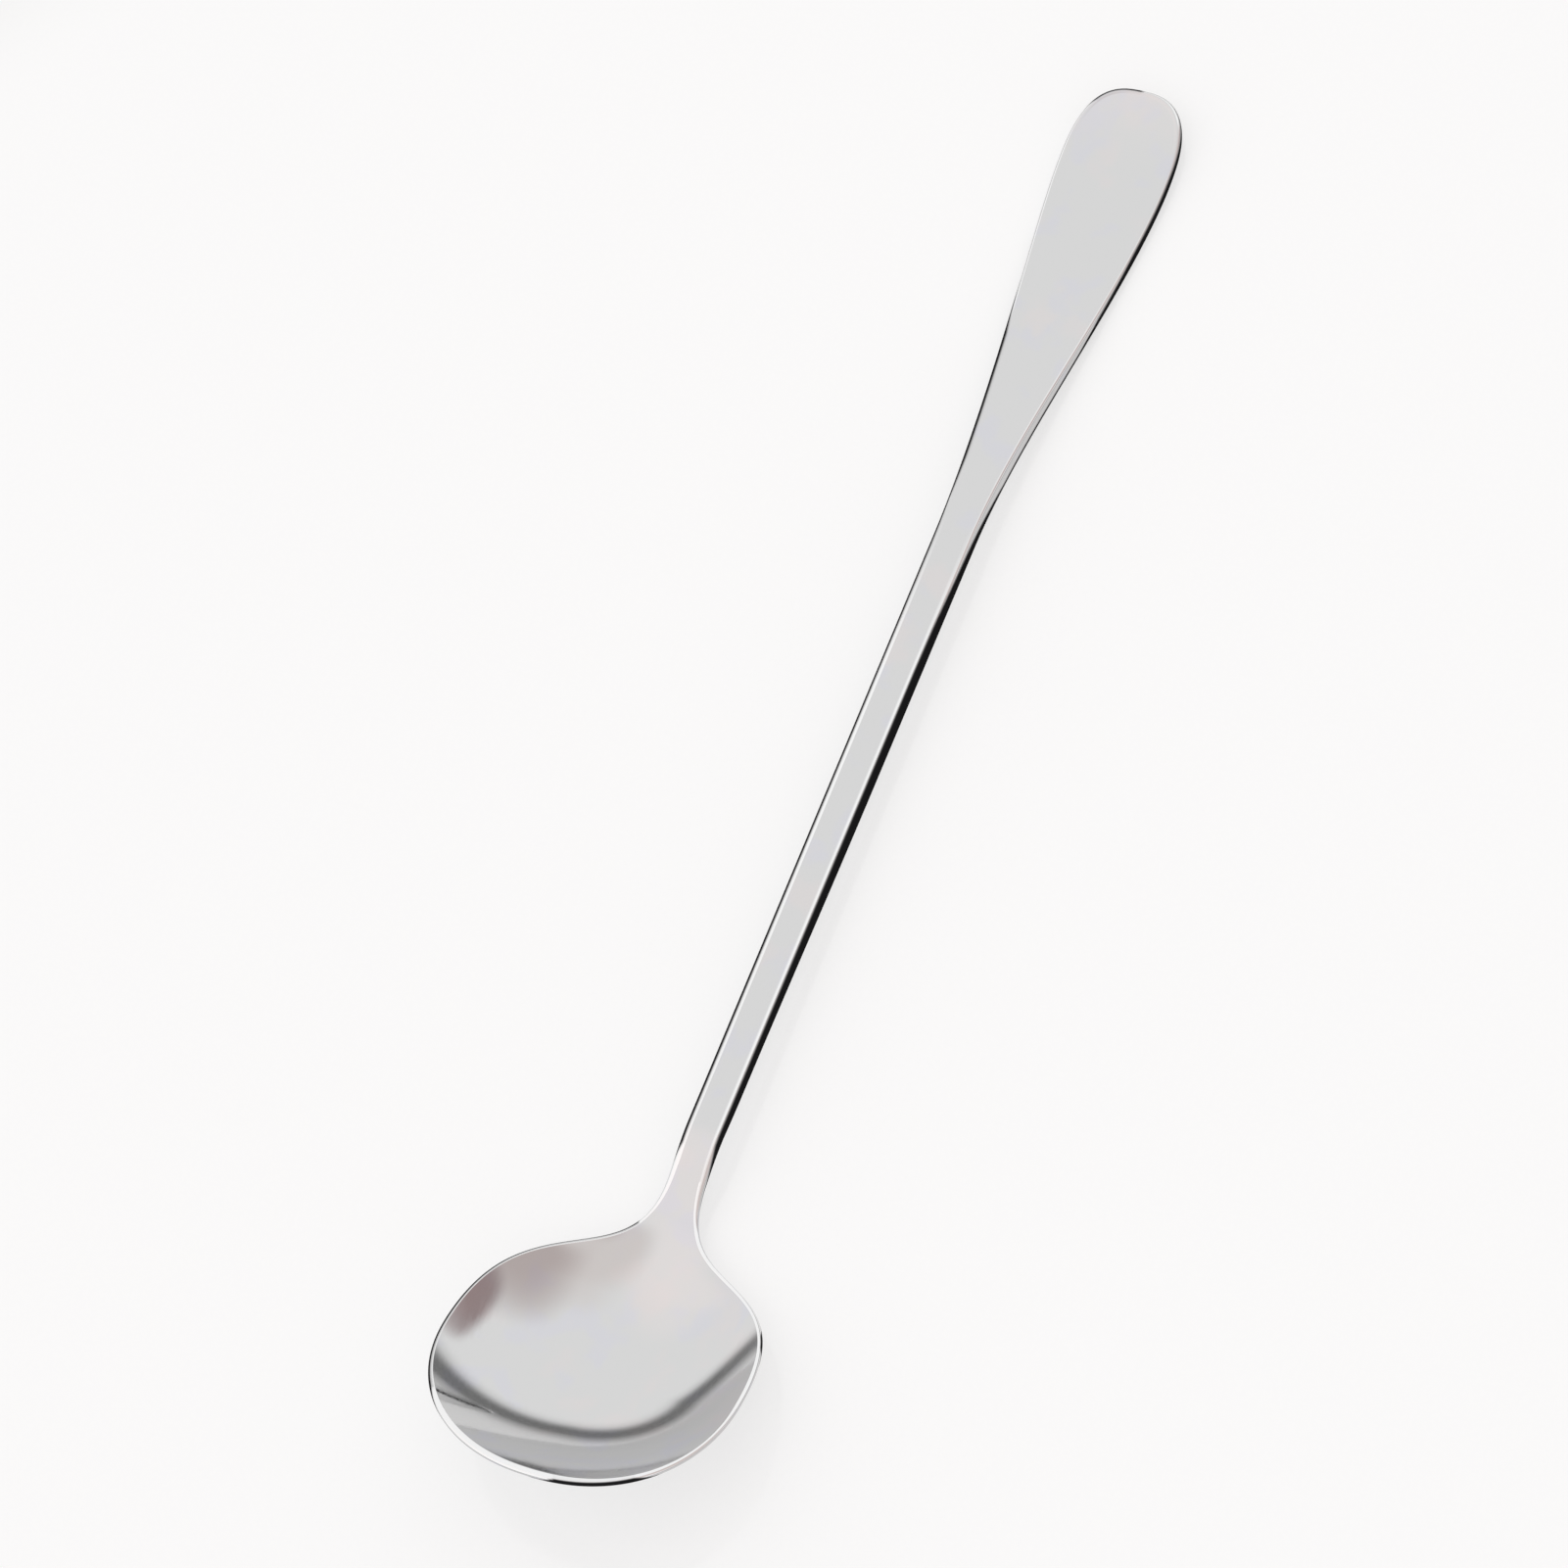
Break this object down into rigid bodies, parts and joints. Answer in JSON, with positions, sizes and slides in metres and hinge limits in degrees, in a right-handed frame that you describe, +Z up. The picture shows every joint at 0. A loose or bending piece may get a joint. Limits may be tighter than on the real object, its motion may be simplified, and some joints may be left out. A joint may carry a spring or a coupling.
{
  "type": "long-handled teaspoon",
  "caption": "Long-handled teaspoon with a rounded, forward-raised bowl on a slim flat shaft that flares into a rounded paddle end.",
  "frame": {"origin": "middle of the spoon's length and width, on the surface that it rests on", "axes": "+X from the tip of the bowl to the end of the handle, +Z up with the bowl's hollow facing up"},
  "size_m": [0.188, 0.034, 0.0137],
  "materials": {
    "polished_steel": "mirror polished",
    "weld_steel": "ground flush and polished"
  },
  "bodies": {
    "root": {"bowl": "polished_steel", "neck_weld": "weld_steel", "handle": "polished_steel"}
  },
  "joints": []
}
